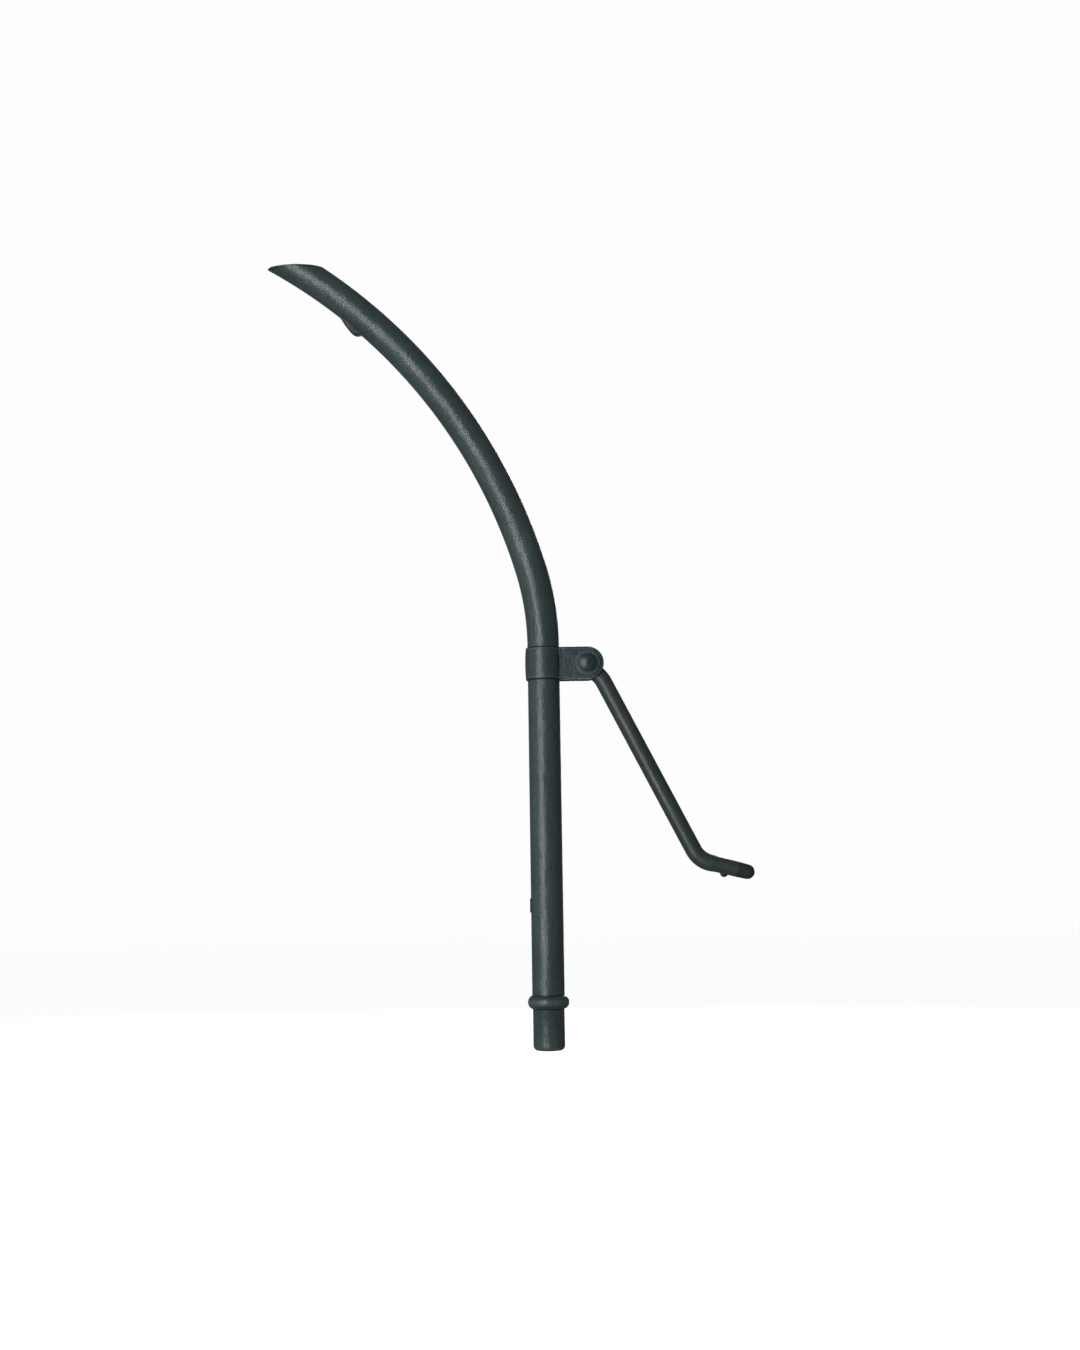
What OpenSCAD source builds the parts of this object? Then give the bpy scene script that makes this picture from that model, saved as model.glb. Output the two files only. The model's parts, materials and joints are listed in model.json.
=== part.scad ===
// Curved tubular scythe shaft with a swinging side grip.
// +Z runs up the straight part of the shaft, the shaft curves over towards -X,
// and the side grip reaches out towards +X. The origin is the middle of the
// spigot's bottom face.

/* [Shaft] */
// Outer diameter of the shaft tube
tube_d = 31.8; // [30:0.1:34]
// Wall thickness of the shaft tube
tube_wall = 2; // [1.5:0.1:3]
// Height at which the shaft starts to curve
curve_start_z = 397.2; // [396:0.1:400]
// Centreline radius of the lower bend
lower_bend_r = 278; // [250:1:320]
// Sine of the lower bend's angle
lower_bend_sine = 0.28; // [0.28, 0.352]
// Centreline radius of the upper bend
upper_bend_r = 569.4; // [540:0.1:620]
// Height of the level cut at the upper end
cut_z = 793.4; // [780:0.1:800]

/* [Blade end] */
// Thickness of the plate that closes the cut
seat_t = 2.4; // [1.5:0.1:4]
// Diameter of the hole that takes the knob of a blade's tang
tang_hole_d = 8.2; // [6:0.1:9]
// Distance of that hole from the middle of the cut, towards the heel
tang_hole_shift = 6; // [0:0.5:10]
// Place of the stop lug's top along the upper bend, as an angle
lug_angle = 48.2; // [44:0.1:50]
// Height of the stop lug over the tube
lug_h = 4; // [2:0.1:6]
// Width of the stop lug across the tube
lug_w = 12; // [8:0.5:16]
// Length of the lug's ramp, towards the tip
lug_ramp = 19; // [10:0.5:25]
// Length of the lug's flat top
lug_top = 5; // [3:0.5:8]
// Length of the lug's steep end, towards the handle
lug_steep = 5.5; // [3:0.5:8]

/* [Lower end] */
// Outer diameter of the spigot
spigot_d = 31; // [28:0.1:31.4]
// Rounding of the spigot's bottom edge
spigot_edge_r = 4.5; // [2:0.5:6]
// Thickness of the spigot's closed bottom
spigot_floor = 6; // [4:0.5:10]
// Wall thickness of the spigot
spigot_wall = 3.5; // [2.5:0.1:5]
// Height at which the tube ends on the spigot's shoulder
tube_end_z = 44; // [42:0.5:48]
// Height of the top of the spigot's inner sleeve
spigot_top_z = 96; // [70:1:120]
// Height of the middle of the bead
bead_z = 46.2; // [44:0.1:50]
// Outer diameter of the bead
bead_d = 40.4; // [38:0.1:44]
// Radius of the bead's round outer face
bead_face_r = 7.2; // [6:0.1:9]
// Diameter of the pin that holds the spigot
spigot_pin_d = 5; // [4:0.5:6]
// Height of that pin
spigot_pin_z = 74; // [64:1:90]
// Depth of that pin, measured from the back of the tube
spigot_pin_depth = 9; // [6:0.5:12]

/* [Stop rivet] */
// Height of the rivet that stops the collar
rivet_z = 139.9; // [120:0.1:160]
// Diameter of the rivet's saddle-shaped head
rivet_head_d = 14; // [10:0.5:16]
// Height of the head over the tube
rivet_head_h = 1; // [0.6:0.1:2]
// Diameter of the rivet's shank
rivet_shank_d = 6; // [4:0.5:8]
// Diameter of the tail inside the tube
rivet_tail_d = 9; // [7:0.5:12]

/* [Collar] */
// Height of the middle of the collar
collar_z = 378.4; // [360:0.1:380]
// Height of the collar band and of its ears
collar_h = 32.4; // [28:0.1:36]
// Diameter across the collar's crown
collar_d = 36.8; // [36:0.1:38]
// How much the collar's ends are smaller in radius than its crown
collar_crown = 0.7; // [0.2:0.1:0.8]
// Rounding of the collar's edges
collar_edge_r = 1.2; // [0.5:0.1:1.4]
// Thickness of the ears
ear_t = 1.9; // [1.5:0.1:2.5]
// Distance between the ears' outer faces
ears_w = 20.6; // [19:0.1:22]
// Thickness of the liner inside the collar
liner_wall = 0.65; // [0.5:0.05:0.8]
// How far the liner stands out at each end of the collar
liner_lip = 0.6; // [0.3:0.1:1]
// Width of the pressed ribs on the ears
rib_w = 1; // [0.6:0.1:1.5]
// Height of the pressed ribs
rib_h = 0.35; // [0.2:0.05:0.6]
// Distances of the ribs from the shaft's middle
rib_places = [18.6, 21.4];

/* [Pivot] */
// Distance of the pivot from the shaft's middle
pivot_x = 43.8; // [42:0.1:48]
// Diameter of the pivot bolt's shank
bolt_d = 8; // [6:0.5:8]
// Diameter of the bolt's domed head
head_d = 18.8; // [16:0.1:20]
// Height of the bolt's domed head
head_h = 4.4; // [3:0.1:6]
// Height of the cylindrical rim under the dome
head_rim_h = 1.2; // [0.5:0.1:2]
// Diameter of the small pip on the dome
pip_d = 3; // [2:0.1:4]
// Diameter of the plain washers under head and nut
washer_d = 24.8; // [22:0.1:26]
// Thickness of those washers
washer_t = 1.5; // [1:0.1:2]
// Diameter of the conical spring washer
spring_washer_d = 17; // [15:0.5:20]
// Height of the conical spring washer
spring_washer_h = 1.6; // [1.2:0.1:2]
// Thickness of the spring washer's own sheet
spring_washer_t = 0.9; // [0.6:0.1:1]
// Width across the lock nut's flats
nut_flats = 13; // [12:0.5:14]
// Height of the lock nut's hexagon
nut_h = 6.5; // [5:0.1:8]
// Height of the round collar that holds the nut's plastic ring
nut_collar_h = 2.2; // [1.5:0.1:3]
// Thickness of the friction washers between eye and ears
friction_washer_t = 1; // [0.8:0.1:1.2]
// Diameter of the friction washers
friction_washer_d = 25; // [20:0.5:26]

/* [Side grip] */
// Diameter of the arm's rod
rod_d = 16.6; // [14:0.1:16.6]
// Diameter of the arm's eye
eye_d = 27; // [24:0.5:29]
// Outer diameter of the bush in the eye
bush_d = 12; // [11:0.5:14]
// Angle of the arm's long straight stretch from straight down
arm_angle = 26.9; // [20:0.1:32]
// Length from the pivot to the upper bend
neck_len = 17.6; // [16:0.1:24]
// Sine of the upper bend's angle
neck_bend_sine = 0.28; // [0, 0.28, 0.352]
// Centreline radius of the upper bend
neck_bend_r = 25; // [25:5:50]
// Length of the long straight stretch
arm_len = 188.5; // [170:0.1:200]
// Sine of the lower bend's angle
foot_bend_sine = 0.752192; // [0.6, 0.752192, 0.8]
// Centreline radius of the lower bend
foot_bend_r = 25; // [25, 50]
// Length from the lower bend to the end of the foot
foot_len = 44.7; // [42:0.1:60]
// Diameter of the foot
foot_d = 15.3; // [13:0.1:16]
// Length over which the rod narrows to the foot
foot_taper_len = 8; // [6:0.5:12]
// Length of the cap on the foot's end
cap_len = 17; // [14:0.5:22]
// Diameter of the cap's round nose
cap_nose_d = 14.4; // [13:0.1:15]
// Diameter of the rod's tenon inside the cap
tenon_d = 9; // [7:0.5:10]
// Length of that tenon
tenon_len = 11; // [8:0.5:12]
// Distance of the finger stud from the lower bend
stud_place = 15.5; // [13:0.1:20]
// Diameter of the finger stud's head
stud_d = 8; // [6:0.1:9]
// How far the finger stud stands out
stud_h = 3; // [2:0.1:5]
// Diameter of the finger stud's shank
stud_shank_d = 5; // [4:0.5:6]
// Depth of the finger stud's shank
stud_shank_len = 5; // [4:0.5:7]

/* [Fits] */
// Radial clearance of every running fit
run_gap = 0.05; // [0.02:0.01:0.1]
// Gap between each friction washer and its ear
side_gap = 0.1; // [0.05:0.05:0.2]
// Gap between the rod's neck and each ear
neck_gap = 0.4; // [0.3:0.1:0.6]

/* [Hidden] */
$fn = 96;
// Fragments of a whole turn in the shaft's wide bends
bend_fn = 1440;
tube_r = tube_d / 2;
bore_r = tube_r - tube_wall;
// Every bend's sine belongs to a triangle with whole sides, so that the
// stretches on both sides of a joint meet in one exact plane
lower_bend_angle = asin(lower_bend_sine);
neck_bend_angle = asin(neck_bend_sine);
foot_bend_angle = asin(foot_bend_sine);
upper_end_angle = 64;
// Middle of the upper bend's circle, as x and z
upper_centre = [
    -lower_bend_r + (lower_bend_r - upper_bend_r) * cos(lower_bend_angle),
    curve_start_z + (lower_bend_r - upper_bend_r) * sin(lower_bend_angle)
];
// Angle of the upper bend at which its centreline reaches the cut
cut_angle = asin((cut_z - upper_centre[1]) / upper_bend_r);
cut_x = upper_centre[0] + upper_bend_r * cos(cut_angle);
past = 1;
far = 100;
// How far a bend is made too long before its end is cut off
bend_extra_angle = 3;
spigot_r = spigot_d / 2;
bead_r = bead_d / 2;
// Height at which the bead's round face meets the tube's radius
bead_low_z = bead_z - sqrt(pow(bead_face_r, 2) - pow(tube_r - bead_r + bead_face_r, 2));
liner_in_r = tube_r + run_gap;
liner_out_r = liner_in_r + liner_wall;
band_in_r = liner_out_r + run_gap;
collar_r = collar_d / 2;
crown_sweep_r = (pow(collar_h / 2, 2) + pow(collar_crown, 2)) / (2 * collar_crown);
ear_out_y = ears_w / 2;
ear_in_y = ear_out_y - ear_t;
ear_end_r = collar_h / 2;
bolt_r = bolt_d / 2;
eye_t = 2 * (ear_in_y - side_gap - friction_washer_t);
head_y = -ear_out_y - washer_t;
dome_h = head_h - head_rim_h;
dome_r = (pow(head_d / 2, 2) + pow(dome_h, 2)) / (2 * dome_h);
spring_y = ear_out_y + washer_t;
nut_y = spring_y + spring_washer_h;
nut_end_y = nut_y + nut_h + nut_collar_h;
bolt_end_y = nut_end_y + 2;
nut_collar_r = nut_flats / 2 - 0.3;
nut_ring_r = nut_collar_r - 1;
rod_r = rod_d / 2;
foot_r = foot_d / 2;
neck_r = ear_end_r + 2;
foot_bare_len = foot_len - cap_len;
lug_sink = 3;

// A round bar of radius r along the shaft's centreline, from z = low upwards.
module shaft_bar(r, low) {
    translate([0, 0, low])
        cylinder(r = r, h = curve_start_z - low);
    translate([0, 0, curve_start_z])
        rod_bend(r, lower_bend_r, lower_bend_angle, bend_fn);
    upper_bend_bar(r);
}

// The upper bend alone, which reaches past the cut.
module upper_bend_bar(r) {
    translate([0, 0, curve_start_z])
        after_bend(lower_bend_r, lower_bend_angle)
            swept_bend(r, upper_bend_r, upper_end_angle - lower_bend_angle, bend_fn);
}

// A bend in the XZ plane that starts at the origin along +Z and turns to -X.
module swept_bend(r, turn_r, angle, turn_fn) {
    translate([-turn_r, 0, 0])
        rotate([90, 0, 0])
            rotate_extrude(angle = angle, $fn = turn_fn)
                translate([turn_r, 0])
                    circle(r = r, $fn = 96);
}

// The same, cut off in the plane where after_bend() starts.
module rod_bend(r, turn_r, angle, turn_fn) {
    difference() {
        swept_bend(r, turn_r, angle + bend_extra_angle, turn_fn);
        after_bend(turn_r, angle)
            translate([-far / 2, -far / 2, 0])
                cube(far);
    }
}

// Moves what follows to the end of such a bend.
module after_bend(turn_r, angle) {
    translate([-turn_r * (1 - cos(angle)), 0, turn_r * sin(angle)])
        rotate([0, -angle, 0])
            children();
}

// Everything above height z near the shaft's upper end.
module space_above(z) {
    translate([cut_x - far, -far, z])
        cube([2 * far, 2 * far, far]);
}

// A ring along +Z from z = 0.
module ring(outer_r, inner_r, height) {
    difference() {
        cylinder(r = outer_r, h = height);
        translate([0, 0, -past])
            cylinder(r = inner_r, h = height + 2 * past);
    }
}

// Puts a shape that was made along +Z from z = 0 on the pivot, along +Y from y.
module on_pivot(y) {
    translate([pivot_x, y, collar_z])
        rotate([-90, 0, 0])
            children();
}

// Places what is drawn in the arm's own frame: its long stretch runs along +Z
// from z = 0, the neck bends back from there to the pivot on the +X side, and
// the foot turns to -X from the other end.
module at_arm() {
    translate([pivot_x, 0, collar_z])
        rotate([0, 180 - arm_angle, 0])
            translate([
                -neck_len * sin(neck_bend_angle) - neck_bend_r * (1 - cos(neck_bend_angle)),
                0,
                neck_len * cos(neck_bend_angle) + neck_bend_r * sin(neck_bend_angle)
            ])
                children();
}

// The start of the foot in the arm's own frame, with the foot along +Z.
module at_foot() {
    translate([0, 0, arm_len])
        after_bend(foot_bend_r, foot_bend_angle)
            children();
}

module shaft_tube() {
    color("darkslategray")
        difference() {
            shaft_bar(tube_r, tube_end_z);
            shaft_bar(bore_r, tube_end_z - past);
            space_above(cut_z - seat_t);
            translate([-tube_d, 0, rivet_z])
                rotate([0, 90, 0])
                    cylinder(d = rivet_shank_d, h = tube_d);
            translate([0, 0, spigot_pin_z])
                rotate([-90, 0, 0])
                    cylinder(d = spigot_pin_d, h = tube_d);
        }
}

module blade_seat_plate() {
    color("dimgray")
        difference() {
            intersection() {
                upper_bend_bar(tube_r);
                translate([cut_x - far, -far, cut_z - seat_t])
                    cube([2 * far, 2 * far, seat_t]);
            }
            translate([cut_x + tang_hole_shift, 0, cut_z - seat_t - past])
                cylinder(d = tang_hole_d, h = seat_t + 2 * past);
        }
}

// The lug's outline stands on the inner side of the curve. Its local +X runs
// along the tube to the tip and its local +Y stands out from the tube.
module ring_stop_lug() {
    inner_r = upper_bend_r - tube_r;
    color("darkslategray")
        difference() {
            translate([
                upper_centre[0] + inner_r * cos(lug_angle),
                0,
                upper_centre[1] + inner_r * sin(lug_angle)
            ])
                rotate([0, -lug_angle - 90, 0])
                    rotate([90, 0, 0])
                        translate([0, 0, -lug_w / 2])
                            linear_extrude(lug_w)
                                polygon([
                                    [-lug_top / 2 - lug_steep, -lug_sink],
                                    [-lug_top / 2 - lug_steep, 0],
                                    [-lug_top / 2 - lug_steep / 2, lug_h * 0.75],
                                    [-lug_top / 2, lug_h],
                                    [lug_top / 2, lug_h],
                                    [lug_top / 2 + lug_ramp / 2, lug_h * 0.55],
                                    [lug_top / 2 + lug_ramp, -lug_sink / 4],
                                    [lug_top / 2 + lug_ramp, -lug_sink]
                                ]);
            upper_bend_bar(tube_r);
        }
}

module stop_rivet() {
    color("darkslategray")
        translate([0, 0, rivet_z]) {
            saddle(rivet_head_d, tube_r, tube_r + rivet_head_h);
            saddle(rivet_tail_d, bore_r - rivet_head_h, bore_r);
            saddle(rivet_shank_d, bore_r - rivet_head_h, tube_r + rivet_head_h);
        }
}

// A round pad on the tube's -X side, bent round the tube between two radii.
module saddle(d, inner_r, outer_r) {
    intersection() {
        translate([-tube_d, 0, 0])
            rotate([0, 90, 0])
                cylinder(d = d, h = tube_d);
        translate([0, 0, -tube_d / 2])
            ring(outer_r, inner_r, tube_d);
    }
}

module bead_ring() {
    color("darkslategray")
        translate([0, 0, bead_z])
            rotate_extrude()
                intersection() {
                    translate([bead_r - bead_face_r, 0])
                        circle(r = bead_face_r);
                    translate([tube_r, -bead_face_r])
                        square([bead_face_r, 2 * bead_face_r]);
                }
}

module end_spigot() {
    color("darkslategray")
        difference() {
            union() {
                rotate_extrude()
                    union() {
                        square([spigot_r - spigot_edge_r, tube_end_z]);
                        translate([0, spigot_edge_r])
                            square([spigot_r, tube_end_z - spigot_edge_r]);
                        translate([spigot_r - spigot_edge_r, spigot_edge_r])
                            circle(r = spigot_edge_r);
                    }
                translate([0, 0, bead_low_z])
                    cylinder(r = tube_r, h = tube_end_z - bead_low_z);
                cylinder(r = bore_r, h = spigot_top_z);
            }
            translate([0, 0, spigot_floor])
                cylinder(r = bore_r - spigot_wall, h = spigot_top_z);
            translate([0, 0, spigot_pin_z])
                rotate([-90, 0, 0])
                    cylinder(d = spigot_pin_d, h = tube_d);
        }
}

module spigot_pin() {
    color("darkslategray")
        intersection() {
            translate([0, tube_r - spigot_pin_depth, spigot_pin_z])
                rotate([-90, 0, 0])
                    cylinder(d = spigot_pin_d, h = spigot_pin_depth);
            translate([0, 0, spigot_pin_z - spigot_pin_d])
                cylinder(r = tube_r, h = 2 * spigot_pin_d);
        }
}

module band_liner() {
    color("black")
        translate([0, 0, collar_z - collar_h / 2 - liner_lip])
            ring(liner_out_r, liner_in_r, collar_h + 2 * liner_lip);
}

// Half of the crowned band's section, with round edges.
module band_section() {
    intersection() {
        translate([collar_r - crown_sweep_r, 0])
            circle(r = crown_sweep_r, $fn = 720);
        union() {
            translate([0, -collar_h / 2 + collar_edge_r])
                square([collar_d, collar_h - 2 * collar_edge_r]);
            translate([0, -collar_h / 2])
                square([collar_r - collar_crown - collar_edge_r, collar_h]);
            for (end = [-1, 1])
                translate([
                    collar_r - collar_crown - collar_edge_r,
                    end * (collar_h / 2 - collar_edge_r)
                ])
                    circle(r = collar_edge_r);
        }
    }
}

// One ear, seen from the side, with its round end on the pivot.
module ear_outline() {
    circle(r = ear_end_r);
    translate([band_in_r / 2 - pivot_x, -collar_h / 2])
        square([pivot_x - band_in_r / 2, collar_h]);
}

module clamp_band() {
    color("slategray")
        difference() {
            union() {
                difference() {
                    translate([0, 0, collar_z])
                        rotate_extrude()
                            band_section();
                    translate([0, -ear_in_y, collar_z - collar_h])
                        cube([collar_d, 2 * ear_in_y, 2 * collar_h]);
                }
                on_pivot(ear_in_y)
                    linear_extrude(ear_t)
                        ear_outline();
                on_pivot(-ear_out_y)
                    linear_extrude(ear_t)
                        ear_outline();
                for (x = rib_places, y = [ear_out_y - past, -ear_out_y - rib_h])
                    translate([x - rib_w / 2, y, collar_z - collar_h * 0.4])
                        cube([rib_w, rib_h + past, collar_h * 0.8]);
            }
            translate([0, 0, collar_z - collar_h])
                cylinder(r = band_in_r, h = 2 * collar_h);
            on_pivot(-ears_w)
                cylinder(r = bolt_r + run_gap, h = 2 * ears_w);
        }
}

module pivot_bolt() {
    color("darkslategray") {
        on_pivot(head_y)
            cylinder(r = bolt_r, h = bolt_end_y - head_y);
        on_pivot(head_y - head_rim_h)
            cylinder(d = head_d, h = head_rim_h);
        intersection() {
            on_pivot(head_y - head_rim_h - dome_h + dome_r)
                sphere(r = dome_r);
            on_pivot(head_y - head_rim_h - dome_h)
                cylinder(d = head_d, h = dome_h);
        }
        translate([pivot_x, head_y - head_h, collar_z])
            sphere(d = pip_d);
    }
}

module front_washer() {
    color("gray")
        on_pivot(head_y)
            ring(washer_d / 2, bolt_r + run_gap, washer_t);
}

module back_washer() {
    color("gray")
        on_pivot(ear_out_y)
            ring(washer_d / 2, bolt_r + run_gap, washer_t);
}

// The spring washer's wide end rests on the back washer.
module spring_washer() {
    rise = spring_washer_h - spring_washer_t;
    color("gray")
        on_pivot(spring_y)
            rotate_extrude()
                polygon([
                    [bolt_r + run_gap, rise],
                    [spring_washer_d / 2, 0],
                    [spring_washer_d / 2, spring_washer_t],
                    [bolt_r + run_gap, spring_washer_h]
                ]);
}

module lock_nut() {
    color("gray")
        on_pivot(nut_y)
            difference() {
                union() {
                    cylinder(d = nut_flats / cos(30), h = nut_h, $fn = 6);
                    cylinder(r = nut_collar_r, h = nut_h + nut_collar_h);
                }
                translate([0, 0, -past])
                    cylinder(r = bolt_r + run_gap, h = nut_h + 2 * past);
                translate([0, 0, nut_h])
                    cylinder(r = nut_ring_r, h = nut_collar_h + past);
            }
}

module lock_nut_ring() {
    color("royalblue")
        on_pivot(nut_y + nut_h)
            ring(nut_ring_r, bolt_r, nut_collar_h - run_gap);
}

// The space beside the arm's neck: the ears, and the washers next to the eye.
module neck_clearance() {
    for (side = [0, 1])
        mirror([0, side, 0]) {
            on_pivot(ear_in_y - neck_gap)
                cylinder(r = neck_r, h = ears_w);
            on_pivot(eye_t / 2)
                cylinder(d = friction_washer_d + past, h = ears_w);
        }
}

// The rod from its neck to its foot's tenon, in the arm's own frame.
module bent_rod() {
    rotate([0, 180, 0]) {
        rod_bend(rod_r, neck_bend_r, neck_bend_angle, $fn);
        after_bend(neck_bend_r, neck_bend_angle)
            cylinder(r = rod_r, h = neck_len);
    }
    cylinder(r = rod_r, h = arm_len);
    translate([0, 0, arm_len])
        rod_bend(rod_r, foot_bend_r, foot_bend_angle, $fn);
    at_foot() {
        cylinder(r1 = rod_r, r2 = foot_r, h = foot_taper_len);
        translate([0, 0, foot_taper_len])
            cylinder(r = foot_r, h = foot_bare_len - foot_taper_len);
        cylinder(d = tenon_d, h = foot_bare_len + tenon_len);
    }
}

// The stud's seat on the foot's underside, with +Z into the foot.
module at_stud() {
    at_arm()
        at_foot()
            translate([foot_r, 0, stud_place])
                rotate([0, -90, 0])
                    children();
}

module swing_arm() {
    color("darkslategray")
        difference() {
            union() {
                on_pivot(-eye_t / 2)
                    cylinder(d = eye_d, h = eye_t);
                difference() {
                    at_arm()
                        bent_rod();
                    neck_clearance();
                }
            }
            on_pivot(-ears_w)
                cylinder(d = bush_d, h = 2 * ears_w);
            at_stud()
                cylinder(d = stud_shank_d, h = stud_shank_len);
        }
}

module arm_bush() {
    color("goldenrod")
        on_pivot(-eye_t / 2)
            ring(bush_d / 2, bolt_r + run_gap, eye_t);
}

module friction_washers() {
    color("dimgray")
        for (y = [-eye_t / 2 - friction_washer_t, eye_t / 2])
            on_pivot(y)
                ring(friction_washer_d / 2, bolt_r + run_gap, friction_washer_t);
}

module grip_cap() {
    nose_r = cap_nose_d / 2;
    color("black")
        at_arm()
            at_foot()
                translate([0, 0, foot_bare_len])
                    difference() {
                        union() {
                            cylinder(r1 = foot_r, r2 = nose_r, h = cap_len - nose_r);
                            translate([0, 0, cap_len - nose_r])
                                sphere(r = nose_r);
                        }
                        translate([0, 0, -past])
                            cylinder(d = tenon_d, h = tenon_len + past);
                    }
}

module finger_stud() {
    color("black")
        difference() {
            union() {
                at_stud()
                    cylinder(d = stud_shank_d, h = stud_shank_len);
                at_stud()
                    translate([0, 0, stud_d / 2 - stud_h])
                        sphere(d = stud_d);
            }
            difference() {
                at_arm()
                    at_foot()
                        cylinder(r = foot_r, h = foot_bare_len);
                at_stud()
                    cylinder(d = stud_shank_d, h = stud_shank_len);
            }
        }
}

shaft_tube();
blade_seat_plate();
ring_stop_lug();
stop_rivet();
bead_ring();
end_spigot();
spigot_pin();
band_liner();
clamp_band();
pivot_bolt();
front_washer();
back_washer();
spring_washer();
lock_nut();
lock_nut_ring();
swing_arm();
arm_bush();
friction_washers();
grip_cap();
finger_stud();
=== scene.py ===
"""Curved scythe shaft with a sliding collar and a swinging side grip, set on a pale stage."""
import json
import math
from contextlib import contextmanager
from functools import reduce

import bmesh
import bpy
from mathutils import Matrix, Vector


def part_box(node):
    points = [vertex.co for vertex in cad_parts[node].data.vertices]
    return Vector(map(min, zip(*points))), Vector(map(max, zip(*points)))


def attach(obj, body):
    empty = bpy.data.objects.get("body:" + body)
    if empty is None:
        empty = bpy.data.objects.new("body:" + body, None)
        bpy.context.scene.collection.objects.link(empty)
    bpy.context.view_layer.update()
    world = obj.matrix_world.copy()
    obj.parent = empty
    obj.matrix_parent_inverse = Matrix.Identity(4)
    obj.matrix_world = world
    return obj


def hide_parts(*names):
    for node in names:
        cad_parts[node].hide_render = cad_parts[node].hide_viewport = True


bl_info = {
    "name": "Scythe Shaft With Side Grip",
    "version": (1, 0, 0),
    "blender": (4, 5, 0),
    "location": "View3D > Sidebar > Scythe",
    "description": "Builds the shaft, its collar, its side grip and their finishes around the packed parts",
    "category": "Object",
}

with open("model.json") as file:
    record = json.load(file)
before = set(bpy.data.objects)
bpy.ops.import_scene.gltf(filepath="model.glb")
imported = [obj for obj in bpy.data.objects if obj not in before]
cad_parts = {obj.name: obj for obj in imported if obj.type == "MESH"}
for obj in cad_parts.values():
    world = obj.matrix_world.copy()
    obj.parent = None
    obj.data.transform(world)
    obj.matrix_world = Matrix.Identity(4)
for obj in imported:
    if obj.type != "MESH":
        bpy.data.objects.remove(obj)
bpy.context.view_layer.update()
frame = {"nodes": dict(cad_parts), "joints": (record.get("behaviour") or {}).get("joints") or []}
JOINTS = {joint["name"]: joint for joint in frame["joints"]}
MM = 0.001
ROUND = 96
UP = 0
# The hole in the seat for a blade's knob: its place along X, and its radius
KNOB_HOLE_X, KNOB_HOLE_RADIUS = -0.24202, 0.0041


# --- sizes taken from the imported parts

def low(node, axis):
    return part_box(node)[0][axis]


def high(node, axis):
    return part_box(node)[1][axis]


def middle(node, axis):
    return (low(node, axis) + high(node, axis)) / 2


PIVOT = Vector(JOINTS["arm_swing"]["pos_m"])


def length_property(label, what, default):
    return bpy.props.FloatProperty(name=label, description=what, default=default, unit="LENGTH", precision=5)


def angle_property(label, what, degrees):
    return bpy.props.FloatProperty(
        name=label, description=what, default=math.radians(degrees), subtype="ANGLE")


def number_property(label, what, default):
    return bpy.props.FloatProperty(name=label, description=what, default=default)


def colour_property(label, what, default):
    return bpy.props.FloatVectorProperty(
        name=label, description=what, default=default, subtype="COLOR", size=3, min=0, max=1)


class ScytheSizes(bpy.types.PropertyGroup):
    tube_radius: length_property("Tube radius", "Outside of the shaft tube", high("shaft_tube", 1))
    tube_wall: length_property("Tube wall", "Thickness of the tube's sheet", 0.002)
    curve_start: length_property("Curve start", "Height at which the shaft starts to curve", 0.3972)
    lower_bend_radius: length_property("Lower bend radius", "Centreline radius of the lower bend", 0.278)
    lower_bend_sine: number_property("Lower bend sine", "Sine of the lower bend's angle", 0.28)
    upper_bend_radius: length_property("Upper bend radius", "Centreline radius of the upper bend", 0.5694)
    bead_face_radius: length_property("Bead face radius", "Radius of the bead's round face", 0.0072)
    spigot_radius: length_property("Spigot radius", "Outside of the spigot below the bead", 0.0155)
    spigot_wall: length_property("Spigot wall", "Thickness of the spigot inside the tube", 0.0035)
    spigot_edge: length_property("Spigot edge", "Rounding of the spigot's bottom edge", 0.0045)
    ear_thickness: length_property("Ear thickness", "Thickness of the collar's ears", 0.0019)
    ears_half_width: length_property(
        "Ears half width", "Distance of an ear's outer face from the middle", 0.0103)
    ear_root: length_property("Ear root", "Where the ears leave the band, along X", 0.0161)
    bolt_radius: length_property("Bolt radius", "Radius of the bolt's shank", 0.004)
    head_radius: length_property("Head radius", "Radius of the bolt's domed head", 0.0094)
    washer_radius: length_property("Washer radius", "Outside of the plain washers", 0.0124)
    nut_flats: length_property("Nut flats", "Width of the nut across its flats", 0.013)
    rod_radius: length_property("Rod radius", "Outside of the arm's rod", high("swing_arm", 1))
    arm_angle: angle_property("Arm angle", "Angle of the arm's long stretch from straight down", 26.9)
    neck_length: length_property("Neck length", "Length from the pivot to the upper bend", 0.0176)
    neck_bend_sine: number_property("Neck bend sine", "Sine of the arm's upper bend", 0.28)
    arm_bend_radius: length_property("Arm bend radius", "Centreline radius of the arm's bends", 0.025)
    arm_length: length_property("Arm length", "Length of the arm's long stretch", 0.1885)
    foot_bend_sine: number_property("Foot bend sine", "Sine of the arm's lower bend", 0.752192)
    foot_length: length_property("Foot length", "Length from the lower bend to the cap's end", 0.0447)
    foot_radius: length_property("Foot radius", "Outside of the foot", 0.00765)
    cap_length: length_property("Cap length", "Length of the cap on the foot", 0.017)
    stud_place: length_property("Stud place", "Length from the lower bend to the finger stud", 0.0155)


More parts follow.
